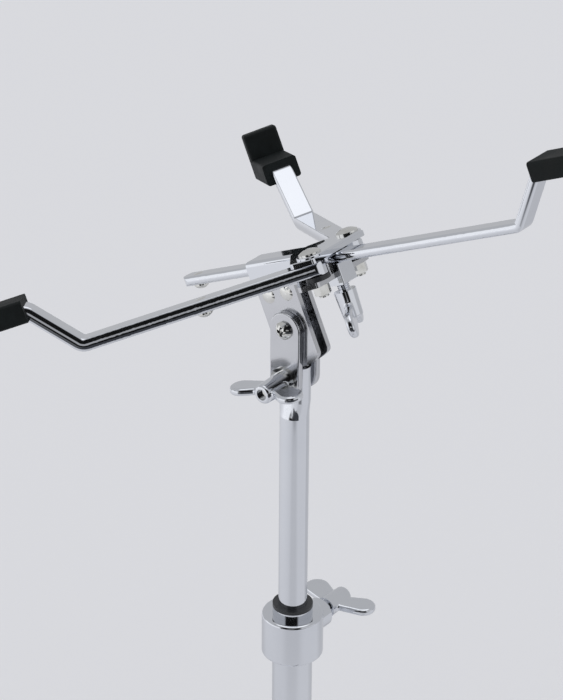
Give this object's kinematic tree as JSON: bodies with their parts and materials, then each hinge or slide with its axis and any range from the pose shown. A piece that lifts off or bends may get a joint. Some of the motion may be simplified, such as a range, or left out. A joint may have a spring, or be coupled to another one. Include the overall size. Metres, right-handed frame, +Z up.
{
  "type": "snare drum stand",
  "caption": "Folding chrome stand for a snare drum: tripod legs with braces, telescopic post, tilter with wing nut and a basket of bent arms with rubber tips.",
  "frame": {"origin": "on the floor, on the axis of the post and base tube", "axes": "+Z up along the post, +Y along the tilt axis away from the wing nut, +X under the sliding arm of the basket"},
  "size_m": [0.554, 0.4807, 0.6443],
  "materials": {
    "chrome": "polished chrome plate",
    "plated_steel": "bright nickel or zinc plate",
    "rubber": "matte moulded rubber",
    "nylon": "satin nylon",
    "black_plastic": "satin moulded plastic"
  },
  "bodies": {
    "base": {"base_tube": "chrome", "base_end_cap": "black_plastic", "brace_collar": "chrome", "brace_pins": "plated_steel", "height_clamp": "chrome"},
    "bush": {"height_bush": "nylon"},
    "post": {"post": "chrome", "front_strap": "chrome", "rear_strap": "chrome", "tilt_screw": "plated_steel", "tilt_nut": "plated_steel", "lock_bolt": "plated_steel", "lock_washer": "plated_steel"},
    "height_knob": {"height_wing_bolt": "chrome"},
    "collar": {"leg_collar": "chrome", "leg_pins": "plated_steel"},
    "collar_knob": {"collar_wing_bolt": "chrome"},
    "tilt_knob": {"wing_nut": "chrome"},
    "basket": {"tilt_bracket": "chrome", "bracket_rivets": "plated_steel", "arm_guide": "chrome", "guide_liner": "nylon", "pivot_plate": "chrome", "pivot_screws": "plated_steel", "pivot_nuts": "plated_steel", "arm_washers": "nylon", "clamp_block": "chrome", "clamp_shoe": "nylon"},
    "basket_knob": {"basket_wing_bolt": "chrome"},
    "sliding_arm": {"sliding_arm": "chrome", "slide_stop": "plated_steel", "right_tip": "rubber"},
    "left_arm": {"left_arm": "chrome", "left_arm_rivet": "plated_steel", "left_tip": "rubber"},
    "back_arm": {"back_arm": "chrome", "back_arm_rivet": "plated_steel", "back_tip": "rubber"},
    "brace_rear": {"brace_rear": "chrome", "brace_rivets_rear": "plated_steel"},
    "leg_rear": {"leg_rear": "chrome", "foot_rear": "rubber"},
    "brace_left": {"brace_left": "chrome", "brace_rivets_left": "plated_steel"},
    "leg_left": {"leg_left": "chrome", "foot_left": "rubber"},
    "brace_right": {"brace_right": "chrome", "brace_rivets_right": "plated_steel"},
    "leg_right": {"leg_right": "chrome", "foot_right": "rubber"}
  },
  "joints": [
    {"name": "brace_rear_fold", "type": "hinge", "parent": "base", "child": "brace_rear", "pos_m": [0, 0.024, 0.0658], "axis": [1, 0, 0], "range_deg": [0, 54]},
    {"name": "leg_rear_fold", "type": "hinge", "parent": "brace_rear", "child": "leg_rear", "pos_m": [0, 0.10788, 0.1104], "axis": [-1, 0, 0], "range_deg": [0, 108]},
    {"name": "leg_collar_fold", "type": "hinge", "parent": "leg_rear", "child": "collar", "pos_m": [0, 0.024, 0.155], "axis": [1, 0, 0], "range_deg": [0, 54]},
    {"name": "brace_left_fold", "type": "hinge", "parent": "base", "child": "brace_left", "pos_m": [-0.02078, -0.012, 0.0658], "axis": [-0.5, 0.866, 0], "range_deg": [0, 54]},
    {"name": "leg_left_fold", "type": "hinge", "parent": "brace_left", "child": "leg_left", "pos_m": [-0.09343, -0.05394, 0.1104], "axis": [0.5, -0.866, 0], "range_deg": [0, 108]},
    {"name": "brace_right_fold", "type": "hinge", "parent": "base", "child": "brace_right", "pos_m": [0.02078, -0.012, 0.0658], "axis": [-0.5, -0.866, 0], "range_deg": [0, 54]},
    {"name": "leg_right_fold", "type": "hinge", "parent": "brace_right", "child": "leg_right", "pos_m": [0.09343, -0.05394, 0.1104], "axis": [0.5, 0.866, 0], "range_deg": [0, 108]},
    {"name": "collar_wing_bolt_turn", "type": "hinge", "parent": "collar", "child": "collar_knob", "pos_m": [0, -0.0295, 0.155], "axis": [0, -1, 0], "continuous": true},
    {"name": "post_turn", "type": "hinge", "parent": "base", "child": "bush", "pos_m": [0, 0, 0.3], "axis": [0, 0, 1], "continuous": true},
    {"name": "post_height", "type": "slide", "parent": "bush", "child": "post", "axis": [0, 0, 1], "range_m": [-0.1, 0.09]},
    {"name": "height_wing_bolt_turn", "type": "hinge", "parent": "base", "child": "height_knob", "pos_m": [0, 0.03, 0.283], "axis": [0, 1, 0], "continuous": true},
    {"name": "wing_nut_turn", "type": "hinge", "parent": "post", "child": "tilt_knob", "pos_m": [0, -0.011, 0.4445], "axis": [0, -1, 0], "continuous": true},
    {"name": "basket_tilt", "type": "hinge", "parent": "post", "child": "basket", "pos_m": [0, 0, 0.475], "axis": [0, -1, 0], "range_deg": [-34, 35]},
    {"name": "basket_wing_bolt_turn", "type": "hinge", "parent": "basket", "child": "basket_knob", "pos_m": [0.03343, 0, 0.50154], "axis": [0.421, 0, -0.907], "continuous": true},
    {"name": "arm_slide", "type": "slide", "parent": "basket", "child": "sliding_arm", "axis": [0.907, 0, 0.421], "range_m": [-0.06, 0.03]},
    {"name": "left_arm_swivel", "type": "hinge", "parent": "basket", "child": "left_arm", "pos_m": [0.0227, -0.0156, 0.52467], "axis": [-0.421, 0, 0.907], "range_deg": [-38, 30]},
    {"name": "back_arm_swivel", "type": "hinge", "parent": "basket", "child": "back_arm", "pos_m": [0.0227, 0.0156, 0.52467], "axis": [-0.421, 0, 0.907], "range_deg": [-30, 38]}
  ],
  "couplings": [
    {"joint": "leg_rear_fold", "follows": "brace_rear_fold", "ratio": 2},
    {"joint": "leg_collar_fold", "follows": "brace_rear_fold", "ratio": 1},
    {"joint": "brace_left_fold", "follows": "brace_rear_fold", "ratio": 1},
    {"joint": "leg_left_fold", "follows": "brace_rear_fold", "ratio": 2},
    {"joint": "brace_right_fold", "follows": "brace_rear_fold", "ratio": 1},
    {"joint": "leg_right_fold", "follows": "brace_rear_fold", "ratio": 2}
  ]
}
